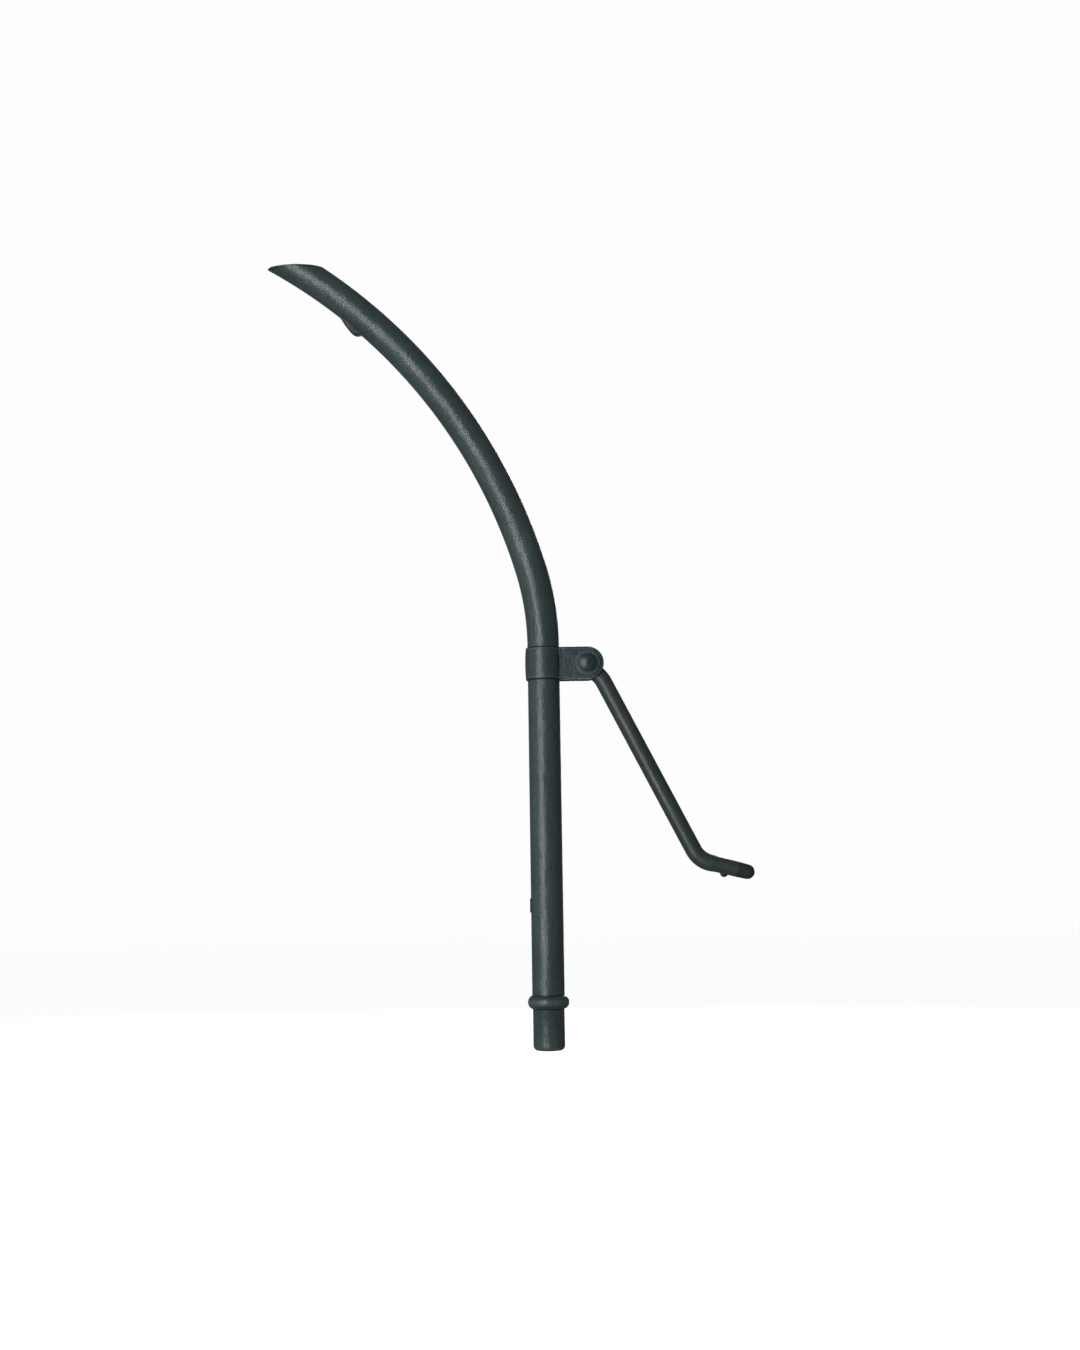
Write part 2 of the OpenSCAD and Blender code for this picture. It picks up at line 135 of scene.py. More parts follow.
class ScytheFinishes(bpy.types.PropertyGroup):
    shaft_enamel: colour_property("Shaft enamel", "Textured enamel of the shaft", (0.036, 0.058, 0.058))
    collar_enamel: colour_property("Collar enamel", "Enamel of the collar's band", (0.027, 0.048, 0.053))
    arm_enamel: colour_property("Arm enamel", "Enamel of the side grip's rod", (0.031, 0.045, 0.044))
    seat_enamel: colour_property("Seat enamel", "Enamel of the seat plate", (0.022, 0.031, 0.032))
    bolt_enamel: colour_property("Bolt enamel", "Enamel on the bolt's head", (0.016, 0.031, 0.037))
    washer_enamel: colour_property("Washer enamel", "Enamel of the washers", (0.030, 0.049, 0.055))
    nut_zinc: colour_property("Nut zinc", "Dulled zinc of the nut and spring washer", (0.36, 0.37, 0.37))
    nut_nylon: colour_property("Nut nylon", "Ring inside the lock nut", (0.02, 0.06, 0.22))
    liner_plastic: colour_property("Liner plastic", "Liner inside the collar", (0.012, 0.014, 0.015))
    friction_fibre: colour_property("Friction fibre", "Washers beside the eye", (0.05, 0.048, 0.044))
    bush_bronze: colour_property("Bush bronze", "Bush in the arm's eye", (0.45, 0.30, 0.12))
    cap_rubber: colour_property("Cap rubber", "Cap and finger stud", (0.021, 0.025, 0.027))
    bare_metal: colour_property("Bare metal", "Metal where enamel has rubbed off", (0.20, 0.21, 0.21))


class ScytheStage(bpy.types.PropertyGroup):
    camera_place: bpy.props.FloatVectorProperty(
        name="Camera place", description="Where the camera stands", default=(-0.0037, -1.650, 0.1594),
        subtype="TRANSLATION", unit="LENGTH", size=3, precision=4)
    camera_pitch: angle_property("Camera pitch", "How far the camera looks up", 7.2)
    camera_roll: angle_property("Camera roll", "How far the camera leans to its right", 0.86)
    camera_lens: number_property("Camera lens", "Focal length in millimetres for a 36 mm high film", 44.35)
    key_power: number_property("Key power", "Power of the tall soft light at the left, in watts", 26.5)
    fill_power: number_property("Fill power", "Power of the wide light at the far left, in watts", 3.2)
    back_power: number_property("Back power", "Power of the soft light behind, in watts", 18.0)
    room_light: number_property("Room light", "Brightness of the room's even light", 0.155)
    floor_drop: length_property(
        "Floor drop", "How far the floor lies below the shaft, clear of the lowered grip", 0.115)
    floor_colour: colour_property("Floor", "Plain pale floor", (0.42, 0.42, 0.42))
    floor_glow: number_property("Floor glow", "Light that the floor gives of its own", 0.895)
    far_glow: number_property("Far glow", "The same where the floor meets the pale room", 0.915)


# --- working by hand: selection, edit mode, modifiers

def choose_all():
    bpy.ops.mesh.select_all(action="SELECT")


def extrude(move):
    bpy.ops.mesh.extrude_region_move(TRANSFORM_OT_translate={"value": move})


def grow(factor, centre):
    bpy.ops.transform.resize(value=(factor, factor, factor), center_override=centre)


def heal(distance):
    """Merges doubles and turns the faces outwards, in edit mode."""
    choose_all()
    bpy.ops.mesh.remove_doubles(threshold=distance)
    bpy.ops.mesh.normals_make_consistent(inside=False)


def deselect_all():
    if bpy.context.mode != "OBJECT":
        bpy.ops.object.mode_set(mode="OBJECT")
    bpy.ops.object.select_all(action="DESELECT")


def pick(piece):
    deselect_all()
    piece.select_set(True)
    bpy.context.view_layer.objects.active = piece


@contextmanager
def edit_mode(piece, mode="VERT"):
    pick(piece)
    bpy.ops.object.mode_set(mode="EDIT")
    bpy.ops.mesh.select_mode(type=mode)
    yield
    bpy.ops.object.mode_set(mode="OBJECT")


def clear_choice(mesh):
    for group in (mesh.faces, mesh.edges, mesh.verts):
        for element in group:
            element.select_set(False)


def select_edges(piece, wanted):
    """Selects only the edges that are wanted, in edit mode. Returns how many."""
    mesh = bmesh.from_edit_mesh(piece.data)
    clear_choice(mesh)
    count = 0
    for edge in mesh.edges:
        if wanted(edge):
            edge.select_set(True)
            count += 1
    bmesh.update_edit_mesh(piece.data)
    return count


def named(name):
    piece = bpy.context.active_object
    piece.name = name
    piece.data.name = name
    return piece


def settle(piece):
    """Puts the piece's place and turn into its mesh."""
    pick(piece)
    bpy.ops.object.transform_apply(location=True, rotation=True, scale=True)


def apply_modifier(piece, kind, **settings):
    pick(piece)
    modifier = piece.modifiers.new(kind.title(), kind)
    for key, value in settings.items():
        setattr(modifier, key, value)
    bpy.ops.object.modifier_apply(modifier=modifier.name)


def combine(piece, other, operation):
    """Joins another closed shape to the piece, or cuts it away, and removes the other shape."""
    prove_closed(piece)
    prove_closed(other)
    apply_modifier(piece, "BOOLEAN", object=other, operation=operation, solver="EXACT")
    shape = other.data
    bpy.data.objects.remove(other)
    bpy.data.meshes.remove(shape)
    if not piece.data.polygons:
        raise RuntimeError(f"{piece.name} is empty after {operation}")


def round_edges(piece, width, segments=3, angle=40):
    apply_modifier(
        piece, "BEVEL", width=width, segments=segments, limit_method="ANGLE",
        angle_limit=math.radians(angle), harden_normals=False, use_clamp_overlap=True)


def close_up(piece, distance=1e-7):
    with edit_mode(piece):
        heal(distance)


def smooth(piece, angle):
    pick(piece)
    bpy.ops.object.shade_smooth_by_angle(angle=math.radians(angle))


def prove_closed(piece):
    """Raises if the piece has an open or crossing edge, or if its faces point inwards."""
    mesh = bmesh.new()
    mesh.from_mesh(piece.data)
    faulty = sum(len(edge.link_faces) != 2 for edge in mesh.edges)
    volume = mesh.calc_volume(signed=True)
    mesh.free()
    if faulty or volume <= 0:
        raise RuntimeError(f"{piece.name}: {faulty} open or crossing edges, volume {volume * 1e9:.1f} mm3")


def fit(piece, body, material, node, angle=35):
    """Smooths a finished piece, gives it its finish and its body, and hides the node that it stands for."""
    smooth(piece, angle)
    prove_closed(piece)
    piece.data.materials.clear()
    piece.data.materials.append(material)
    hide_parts(node)
    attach(piece, body)
    deselect_all()


# --- bars and turned pieces

def heading_vector(heading):
    """The direction that leans from +Z towards +X by this angle."""
    return Vector((math.sin(heading), 0, math.cos(heading)))


def side_vector(heading):
    """The direction to the left of a heading, which is -X where the heading is +Z."""
    return Vector((-math.cos(heading), 0, math.sin(heading)))


def run_ring(length, heading, steps=1):
    """Extrudes the selected ring straight on."""
    for _ in range(steps):
        extrude(heading_vector(heading) * (length / steps))


def ring_middle(piece):
    mesh = bmesh.from_edit_mesh(piece.data)
    chosen = [vertex.co for vertex in mesh.verts if vertex.select]
    return sum(chosen, Vector()) / len(chosen)


def bar(name, radius, start, heading, path, sides=ROUND, capped=True):
    """A round bar along straight runs and turns. Returns it, and the place and heading of its end.

    A run is (length, steps), and a turn is (radius, angle, steps), to the left where the angle is above 0.
    """
    deselect_all()
    bpy.ops.mesh.primitive_circle_add(
        vertices=sides, radius=radius, fill_type="NOTHING", location=start, rotation=(0, heading, 0))
    piece = named(name)
    settle(piece)
    place = Vector(start)
    with edit_mode(piece, "EDGE"):
        choose_all()
        for step in path:
            if len(step) == 2:
                run_ring(step[0], heading, step[1])
                place = place + heading_vector(heading) * step[0]
            else:
                turn_radius, angle, steps = step
                side = 1 if angle > 0 else -1
                centre = place + side_vector(heading) * turn_radius * side
                bpy.ops.mesh.spin(
                    steps=steps, angle=abs(angle), center=centre, axis=(0, side, 0), dupli=False,
                    use_auto_merge=False)
                heading -= angle
                place = centre - side_vector(heading) * turn_radius * side
            if (ring_middle(piece) - place).length > 0.02 * MM:
                raise RuntimeError(f"{name}: the ring is at {ring_middle(piece)}, not at {place}")
        if capped:
            fill_rings(piece)
        heal(1e-7)
    return piece, place, heading


def fill_rings(piece):
    """Fills the open rings one after the other, in edit mode."""
    while True:
        mesh = bmesh.from_edit_mesh(piece.data)
        first = next((edge for edge in mesh.edges if len(edge.link_faces) == 1), None)
        if first is None:
            return
        ring, reach = {first}, [first]
        while reach:
            for vertex in reach.pop().verts:
                for other in vertex.link_edges:
                    if len(other.link_faces) == 1 and other not in ring:
                        ring.add(other)
                        reach.append(other)
        clear_choice(mesh)
        for edge in ring:
            edge.select_set(True)
        bmesh.update_edit_mesh(piece.data)
        bpy.ops.mesh.edge_face_add()


def turned(name, origin, axis, profile, sides=ROUND, closed=False):
    """A turned piece about an axis from an origin. The profile is (radius, height) from end to end.

    A radius of 0 at either end is a pole, or a flat end where the height stays the same. A closed profile
    runs back to its start.
    """
    axis = Vector(axis).normalized()
    origin = Vector(origin)
    turn = Vector((0, 0, 1)).rotation_difference(axis).to_euler()
    points = list(profile)
    pole_first, pole_last = points[0][0] == 0, points[-1][0] == 0
    if pole_first:
        points = points[1:]
    if pole_last:
        points = points[:-1]
    pole_first = pole_first and profile[0][1] != points[0][1]
    pole_last = pole_last and profile[-1][1] != points[-1][1]
    if closed:
        points.append(points[0])
    radius, height = points[0]
    deselect_all()
    bpy.ops.mesh.primitive_circle_add(
        vertices=sides, radius=radius, fill_type="NOTHING", location=origin + axis * height, rotation=turn)
    piece = named(name)
    settle(piece)
    with edit_mode(piece, "EDGE"):
        choose_all()
        if pole_first:
            extrude(axis * (profile[0][1] - height))
            bpy.ops.mesh.merge(type="CENTER")
            select_edges(piece, lambda edge: len(edge.link_faces) == 1)
        for next_radius, next_height in points[1:]:
            extrude(axis * (next_height - height))
            if next_radius != radius:
                grow(next_radius / radius, origin + axis * next_height)
            radius, height = next_radius, next_height
        if pole_last:
            extrude(axis * (profile[-1][1] - height))
            bpy.ops.mesh.merge(type="CENTER")
        choose_all()
        bpy.ops.mesh.remove_doubles(threshold=2e-6)
        if not closed:
            fill_rings(piece)
        choose_all()
        bpy.ops.mesh.normals_make_consistent(inside=False)
    return piece


def drill(piece, name, origin, axis, radius, start, end, sides=ROUND):
    """Cuts a round hole, from one height above an origin to another along an axis."""
    profile = [(0, start), (radius, start), (radius, end), (0, end)]
    combine(piece, turned(name, origin, axis, profile, sides), "DIFFERENCE")


def on_pivot(name, place_y, profile, closed=False):
    """A piece turned about the pivot's line, with its heights from a place along Y."""
    return turned(name, (PIVOT.x, place_y, PIVOT.z), (0, 1, 0), profile, closed=closed)


def arc(centre_radius, centre_height, radius, start, end, steps):
    """Profile points round a centre, from one angle to another, in degrees from the outward direction."""
    points = []
    for step in range(steps + 1):
        angle = math.radians(start + (end - start) * step / steps)
        points.append((centre_radius + radius * math.cos(angle), centre_height + radius * math.sin(angle)))
    return points


def block(name, centre, size):
    deselect_all()
    bpy.ops.mesh.primitive_cube_add(size=1, location=centre)
    piece = named(name)
    piece.scale = size
    settle(piece)
    return piece


def copied(name, node):
    """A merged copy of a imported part, for its edges to be worked on."""
    pick(frame["nodes"][node])
    bpy.ops.object.duplicate()
    piece = named(name)
    for key in list(piece.keys()):
        del piece[key]
    world = piece.matrix_world.copy()
    piece.parent = None
    piece.matrix_world = world
    settle(piece)
    with edit_mode(piece):
        choose_all()
        bpy.ops.mesh.remove_doubles(threshold=1e-6)
        bpy.ops.mesh.dissolve_limited(angle_limit=math.radians(0.5))
        choose_all()
        bpy.ops.mesh.normals_make_consistent(inside=False)
    return piece


# --- finishes

class Finish:
    """A node material under construction, on Object coordinates in metres."""

    def __init__(self, name):
        self.material = bpy.data.materials.new(name)
        self.material.use_nodes = True
        self.tree = self.material.node_tree
        self.shader = self.tree.nodes["Principled BSDF"]
        self.place = self.tree.nodes.new("ShaderNodeTexCoord").outputs["Object"]

    def add(self, kind, **settings):
        made = self.tree.nodes.new(kind)
        for key, value in settings.items():
            setattr(made, key, value)
        return made

    def put(self, made, **values):
        """Sets a node's sockets, whose names are written with _ for a space."""
        for key, value in values.items():
            made.inputs[key.replace("_", " ")].default_value = value

    def link(self, source, target):
        self.tree.links.new(source, target)

    def feed(self, socket, value):
        if isinstance(value, bpy.types.NodeSocket):
            self.link(value, socket)
        else:
            socket.default_value = value

    def noise(self, scale, detail=2.0, roughness=0.55, stretch=None, shift=(0, 0, 0)):
        made = self.add("ShaderNodeTexNoise")
        self.put(made, Scale=scale, Detail=detail, Roughness=roughness)
        mapping = self.add("ShaderNodeMapping")
        self.put(mapping, Location=shift, Scale=stretch or (1, 1, 1))
        self.link(self.place, mapping.inputs["Vector"])
        self.link(mapping.outputs["Vector"], made.inputs["Vector"])
        return made.outputs["Fac"]

    def pits(self, scale, size):
        """Round spots: 1 in a spot's middle, 0 outside it."""
        made = self.add("ShaderNodeTexVoronoi", feature="F1")
        self.put(made, Scale=scale)
        self.link(self.place, made.inputs["Vector"])
        return self.spread(made.outputs["Distance"], 0, size, 1, 0)

    def spread(self, value, low_in, high_in, low_out, high_out, soft=True):
        made = self.add("ShaderNodeMapRange", interpolation_type="SMOOTHSTEP" if soft else "LINEAR")
        self.feed(made.inputs["Value"], value)
        self.put(made, From_Min=low_in, From_Max=high_in, To_Min=low_out, To_Max=high_out)
        return made.outputs["Result"]

    def sum(self, first, second, operation="ADD"):
        made = self.add("ShaderNodeMath", operation=operation, use_clamp=False)
        self.feed(made.inputs[0], first)
        self.feed(made.inputs[1], second)
        return made.outputs["Value"]

    def times(self, first, second):
        return self.sum(first, second, "MULTIPLY")

    def most(self, first, second):
        return self.sum(first, second, "MAXIMUM")

    def blend(self, factor, first, second, how="MIX"):
        made = self.add("ShaderNodeMix", data_type="RGBA", blend_type=how)
        self.feed(made.inputs[0], factor)
        for socket, value in ((made.inputs[6], first), (made.inputs[7], second)):
            self.feed(socket, value if isinstance(value, bpy.types.NodeSocket) else (*value, 1))
        return made.outputs[2]

    def along(self, axis):
        made = self.add("ShaderNodeSeparateXYZ")
        self.link(self.place, made.inputs["Vector"])
        return made.outputs[axis]

    def near_plane(self, axis, place, width):
        """1 at a plane across an axis, and 0 from a width away on."""
        gap = self.sum(self.along(axis), place, "SUBTRACT")
        return self.spread(self.sum(gap, 0, "ABSOLUTE"), 0, width, 1, 0)

    def from_line(self, centre, axis):
        """Distance from a line through a centre, along axis 0, 1 or 2."""
        moved = self.add("ShaderNodeVectorMath", operation="SUBTRACT")
        self.link(self.place, moved.inputs[0])
        moved.inputs[1].default_value = centre
        flat = self.add("ShaderNodeVectorMath", operation="MULTIPLY")
        self.link(moved.outputs["Vector"], flat.inputs[0])
        flat.inputs[1].default_value = [0 if index == axis else 1 for index in range(3)]
        length = self.add("ShaderNodeVectorMath", operation="LENGTH")
        self.link(flat.outputs["Vector"], length.inputs[0])
        return length.outputs["Value"]

    def bumpy(self, *layers):
        """Each layer is (height, distance in metres, strength), from the coarsest to the finest."""
        normal = None
        for height, distance, strength in layers:
            made = self.add("ShaderNodeBump")
            self.put(made, Strength=strength, Distance=distance)
            self.link(height, made.inputs["Height"])
            if normal is not None:
                self.link(normal, made.inputs["Normal"])
            normal = made.outputs["Normal"]
        self.link(normal, self.shader.inputs["Normal"])


def scaled(colour, factor):
    return tuple(min(1, channel * factor) for channel in colour)


def seams(*rows):
    """A mask of painted shade along level joins. Each row is (height, width, strength)."""
    def mask(finish):
        marks = [
            finish.spread(finish.near_plane(2, height, width), 0, 1, 0, strength)
            for height, width, strength in rows]
        return reduce(finish.most, marks)
    return mask


def enamel(name, colour, wear=None, painted_shade=None, rough=(0.25, 0.39), grain=1.0, gloss=0.5):
    """Textured enamel: speckled grain, cloudy tone, small chips, wear where one mask says so, and painted
    shade where another mask says so.
    """
    finish = Finish(name)
    bare = finishes().bare_metal
    clouds = finish.noise(16, detail=4)
    streaks = finish.noise(70, detail=3, stretch=(1, 1, 0.10), shift=(0.3, 0.1, 0))
    speckle = finish.noise(950, detail=3, roughness=0.72)
    lumps = finish.noise(300, detail=3, roughness=0.70, stretch=(1, 1, 0.6), shift=(0.2, 0.7, 0.4))
    waves = finish.noise(36, detail=2, stretch=(1, 1, 0.8), shift=(0.6, 0.2, 0.9))
    tone = finish.blend(finish.spread(clouds, 0.34, 0.66, 0, 1), scaled(colour, 0.86), scaled(colour, 1.12))
    for pattern, low_in, high_in, share, shade in (
            (streaks, 0.35, 0.7, 0.35, 0.72), (speckle, 0.52, 0.70, 0.45, 2.2),
            (speckle, 0.50, 0.30, 0.6, 0.45)):
        tone = finish.blend(
            finish.spread(pattern, low_in, high_in, 0, share), tone, scaled(colour, shade))
    chips = finish.times(finish.pits(210, 0.16), finish.spread(clouds, 0.52, 0.60, 0, 1))
    tone = finish.blend(finish.times(chips, 0.35), tone, scaled(bare, 0.8))
    # Painted shade: where the shade mask says so, the colour drops to 0.22 of the enamel's own.
    if painted_shade is not None:
        tone = finish.blend(painted_shade(finish), tone, scaled(colour, 0.22))
    if wear is not None:
        ragged = finish.spread(finish.noise(900, detail=4, shift=(0.5, 0, 0)), 0.38, 0.62, 0.15, 1)
        tone = finish.blend(finish.times(wear(finish), ragged), tone, bare)
    finish.link(tone, finish.shader.inputs["Base Color"])
    finish.link(
        finish.spread(finish.sum(finish.times(speckle, 0.6), finish.times(streaks, 0.4)), 0.35, 0.65, *rough),
        finish.shader.inputs["Roughness"])
    finish.put(finish.shader, Specular_IOR_Level=gloss)
    finish.bumpy(
        (waves, 0.0030, 0.60 * grain), (lumps, 0.0009, 0.60 * grain), (speckle, 0.00028, 0.60 * grain))
    return finish.material


def turned_metal(name, colour, centre, rough=(0.28, 0.5)):
    """Dulled plated metal with fine turning marks round an axis along Y."""
    finish = Finish(name)
    distance = finish.from_line(centre, 1)
    wave = finish.add("ShaderNodeMath", operation="SINE")
    finish.link(finish.times(distance, 24000), wave.inputs[0])
    clouds = finish.noise(240, detail=4)
    grain = finish.noise(2600, detail=2)
    tone = finish.blend(finish.spread(clouds, 0.35, 0.65, 0, 1), scaled(colour, 0.62), scaled(colour, 1.08))
    tone = finish.blend(finish.spread(grain, 0.5, 0.7, 0, 0.3), tone, scaled(colour, 1.5))
    finish.link(tone, finish.shader.inputs["Base Color"])
    finish.link(finish.spread(clouds, 0.3, 0.7, *rough), finish.shader.inputs["Roughness"])
    finish.put(finish.shader, Metallic=1.0)
    finish.bumpy((grain, 0.00003, 0.25), (wave.outputs["Value"], 0.000006, 0.25))
    return finish.material


def moulded(name, colour, rough=(0.45, 0.62), grain=0.3, dust=0.25):
    """Moulded plastic or rubber: a fine matt skin with faint dust and scuffs."""
    finish = Finish(name)
    clouds = finish.noise(60, detail=4)
    skin = finish.noise(2200, detail=2, roughness=0.6)
    scuffs = finish.noise(320, detail=4, stretch=(1, 0.3, 1))
    tone = finish.blend(finish.spread(clouds, 0.3, 0.7, 0, 1), scaled(colour, 0.8), scaled(colour, 1.2))
    tone = finish.blend(finish.spread(scuffs, 0.58, 0.74, 0, dust), tone, scaled(colour, 3.0))
    tone = finish.blend(finish.spread(skin, 0.55, 0.72, 0, 0.4), tone, scaled(colour, 1.8))
    finish.link(tone, finish.shader.inputs["Base Color"])
    finish.link(finish.spread(scuffs, 0.35, 0.7, *rough), finish.shader.inputs["Roughness"])
    finish.put(finish.shader, Specular_IOR_Level=0.4)
    finish.bumpy((clouds, 0.0003, 0.1), (skin, 0.00006, grain))
    return finish.material


# --- operators

def sizes():
    return bpy.context.scene.scythe_sizes


def finishes():
    return bpy.context.scene.scythe_finishes


def shaft_path(size):
    """The shaft's runs and turns from the lower end of the tube to well past the cut."""
    lower = math.asin(size.lower_bend_sine)
    upper = math.radians(64) - lower
    return [
        (size.curve_start - low("shaft_tube", 2), 8),
        (size.lower_bend_radius, lower, 20),
        (size.upper_bend_radius, upper, 110),
    ]


class SCYTHE_OT_stage(bpy.types.Operator):
    """Sets the camera, the soft lights and the plain pale floor"""
    bl_idname = "scythe.stage"
    bl_label = "Set the stage"

    def execute(self, context):
        stage = context.scene.scythe_stage
        deselect_all()
        bpy.ops.object.camera_add(location=stage.camera_place)
        camera = context.active_object
        camera.name = "stage_camera"
        pitch, roll = stage.camera_pitch, stage.camera_roll
        ahead = Vector((0, math.cos(pitch), math.sin(pitch)))
        level = Vector((1, 0, 0))
        above = level.cross(ahead)
        right = level * math.cos(roll) - above * math.sin(roll)
        upright = level * math.sin(roll) + above * math.cos(roll)
        camera.matrix_world = Matrix.Translation(stage.camera_place) @ Matrix(
            (right, upright, -ahead)).transposed().to_4x4()
        camera.data.sensor_fit = "VERTICAL"
        camera.data.sensor_height = 36
        camera.data.lens = stage.camera_lens
        camera.data.clip_start = 0.01
        context.scene.camera = camera
        aim = Vector((-0.02, 0, 0.40))
        for name, place, size, power in (
                ("stage_key", (-0.82, -1.56, 0.42), (0.16, 1.9), stage.key_power),
                ("stage_fill", (-1.9, -0.35, 0.8), (1.2, 1.6), stage.fill_power),
                ("stage_back", (0.25, 2.0, 0.7), (0.5, 1.6), stage.back_power)):
            self.soft_light(name, Vector(place), aim, size, power)
        deselect_all()
        bpy.ops.mesh.primitive_plane_add(size=160, location=(0, 0, 0))
        floor = named("stage_floor")
        floor.location.z = -stage.floor_drop
        floor.visible_shadow = False
        floor.visible_glossy = False
        paint = Finish("plain_pale_floor")
        cloudy = paint.noise(3, detail=2)
        base = tuple(stage.floor_colour)
        paint.link(
            paint.blend(paint.spread(cloudy, 0.3, 0.7, 0, 1), scaled(base, 0.985), scaled(base, 1.015)),
            paint.shader.inputs["Base Color"])
        paint.put(
            paint.shader, Roughness=0.9, Specular_IOR_Level=0.0, Emission_Color=(1, 1, 1, 1))
        seen = paint.add("ShaderNodeLightPath").outputs["Is Camera Ray"]
        glow = paint.spread(paint.from_line((0, 0, 0), 2), 1.5, 9, stage.floor_glow, stage.far_glow)
        paint.link(paint.times(seen, glow), paint.shader.inputs["Emission Strength"])
        floor.data.materials.append(paint.material)
        self.room(context.scene, stage)
        context.scene.view_settings.view_transform = "Standard"
        return {"FINISHED"}

    def soft_light(self, name, place, aim, size, power):
        deselect_all()
        bpy.ops.object.light_add(type="AREA", location=place)
        light = bpy.context.active_object
        light.name = name
        light.rotation_euler = (aim - place).to_track_quat("-Z", "Y").to_euler()
        light.data.shape = "RECTANGLE"
        light.data.size, light.data.size_y = size
        light.data.energy = power

    def room(self, scene, stage):
        world = bpy.data.worlds.new("pale_room")
        world.use_nodes = True
        scene.world = world
        tree = world.node_tree
        backdrop = tree.nodes["Background"]
        backdrop.inputs["Color"].default_value = (0.985, 0.985, 0.985, 1)
        lamp = tree.nodes.new("ShaderNodeBackground")
        lamp.inputs["Color"].default_value = (0.93, 0.98, 1.0, 1)
        lamp.inputs["Strength"].default_value = stage.room_light
        path = tree.nodes.new("ShaderNodeLightPath")
        mix = tree.nodes.new("ShaderNodeMixShader")
        tree.links.new(path.outputs["Is Camera Ray"], mix.inputs[0])
        tree.links.new(lamp.outputs[0], mix.inputs[1])
        tree.links.new(backdrop.outputs[0], mix.inputs[2])
        tree.links.new(mix.outputs[0], tree.nodes["World Output"].inputs[0])


class SCYTHE_OT_shaft(bpy.types.Operator):
    """Makes the curved tube from a ring that is run and spun along the shaft"""
    bl_idname = "scythe.shaft"
    bl_label = "Shaft tube"

    def execute(self, context):
        size, paint = sizes(), finishes()
        start = (0, 0, low("shaft_tube", 2))
        tube, _, _ = bar("shaft_skin", size.tube_radius, start, UP, shaft_path(size), capped=False)
        apply_modifier(
            tube, "SOLIDIFY", thickness=size.tube_wall, offset=-1, use_rim=True, use_even_offset=True)
        with edit_mode(tube, "EDGE"):
            choose_all()
            bpy.ops.mesh.bisect(
                plane_co=(0, 0, low("blade_seat_plate", 2)), plane_no=(0, 0, 1),
                clear_outer=True, use_fill=False)
            select_edges(tube, lambda edge: len(edge.link_faces) == 1)
            bpy.ops.mesh.bridge_edge_loops()
        centre = (0, 0, middle("spigot_pin", 2))
        drill(tube, "pin_hole", centre, (0, 1, 0), 2.5 * MM, 8 * MM, 20 * MM, sides=32)
        close_up(tube)
        # Painted shade on the tube where it meets the bead and the seat plate.
        seam_shade = seams(
            (high("bead_ring", 2), 1.6 * MM, 0.8), (low("blade_seat_plate", 2), 0.6 * MM, 0.6))
        fit(tube, "shaft",
            enamel("shaft_enamel", paint.shaft_enamel, painted_shade=seam_shade), "shaft_tube")
        return {"FINISHED"}


class SCYTHE_OT_blade_seat(bpy.types.Operator):
    """Makes the plate that closes the slanted cut, with the hole for a blade's knob"""
    bl_idname = "scythe.blade_seat"
    bl_label = "Blade seat"

    def execute(self, context):
        size, paint = sizes(), finishes()
        start = (0, 0, low("shaft_tube", 2))
        plate, _, _ = bar("seat_plate", size.tube_radius, start, UP, shaft_path(size))
        for height, keep_above in ((low("blade_seat_plate", 2), True), (high("blade_seat_plate", 2), False)):
            with edit_mode(plate):
                choose_all()
                bpy.ops.mesh.bisect(
                    plane_co=(0, 0, height), plane_no=(0, 0, 1), use_fill=True,
                    clear_inner=keep_above, clear_outer=not keep_above)
        centre = (KNOB_HOLE_X, 0, low("blade_seat_plate", 2))
        drill(plate, "knob_hole", centre, (0, 0, 1), KNOB_HOLE_RADIUS, -0.002, 0.006, sides=48)
        with edit_mode(plate, "EDGE"):
            top = high("blade_seat_plate", 2)
            flat = lambda edge: all(abs(vertex.co.z - top) < 1e-6 for vertex in edge.verts)
            corner = lambda edge: len(edge.link_faces) == 2 and edge.calc_face_angle(0) > 0.4
            select_edges(plate, lambda edge: flat(edge) and corner(edge))
            bpy.ops.mesh.bevel(offset=0.45 * MM, segments=3, affect="EDGES")
        close_up(plate)
        # Painted shade: the plate darkens towards its top face. The rubbed mask is wear at the top edge.
        rim = lambda finish: finish.spread(
            finish.near_plane(2, high("blade_seat_plate", 2), 1.2 * MM), 0.2, 1, 0, 0.85)
        rubbed = lambda finish: finish.times(
            finish.near_plane(2, high("blade_seat_plate", 2), 0.3 * MM), 0.5)
        fit(plate, "shaft",
            enamel("seat_enamel", paint.seat_enamel, wear=rubbed, painted_shade=rim), "blade_seat_plate")
        return {"FINISHED"}


class SCYTHE_OT_stops(bpy.types.Operator):
    """Works the edges of the stop lug, the stop rivet and the spigot's pin"""
    bl_idname = "scythe.stops"
    bl_label = "Lug, rivet and pin"

    def execute(self, context):
        paint = finishes()
        # Painted shade: the lug, rivet head and pin take the shaft's enamel darkened to 0.62.
        shaded_stop_enamel = enamel("stop_enamel", scaled(paint.shaft_enamel, 0.62), rough=(0.42, 0.55), gloss=0.4)
        for node, name, width in (
                ("ring_stop_lug", "stop_lug", 0.6 * MM),
                ("stop_rivet", "stop_rivet_head", 0.3 * MM),
                ("spigot_pin", "flush_pin", 0.25 * MM)):
            piece = copied(name, node)
            round_edges(piece, width)
            close_up(piece)
            fit(piece, "shaft", shaded_stop_enamel, node)
        return {"FINISHED"}


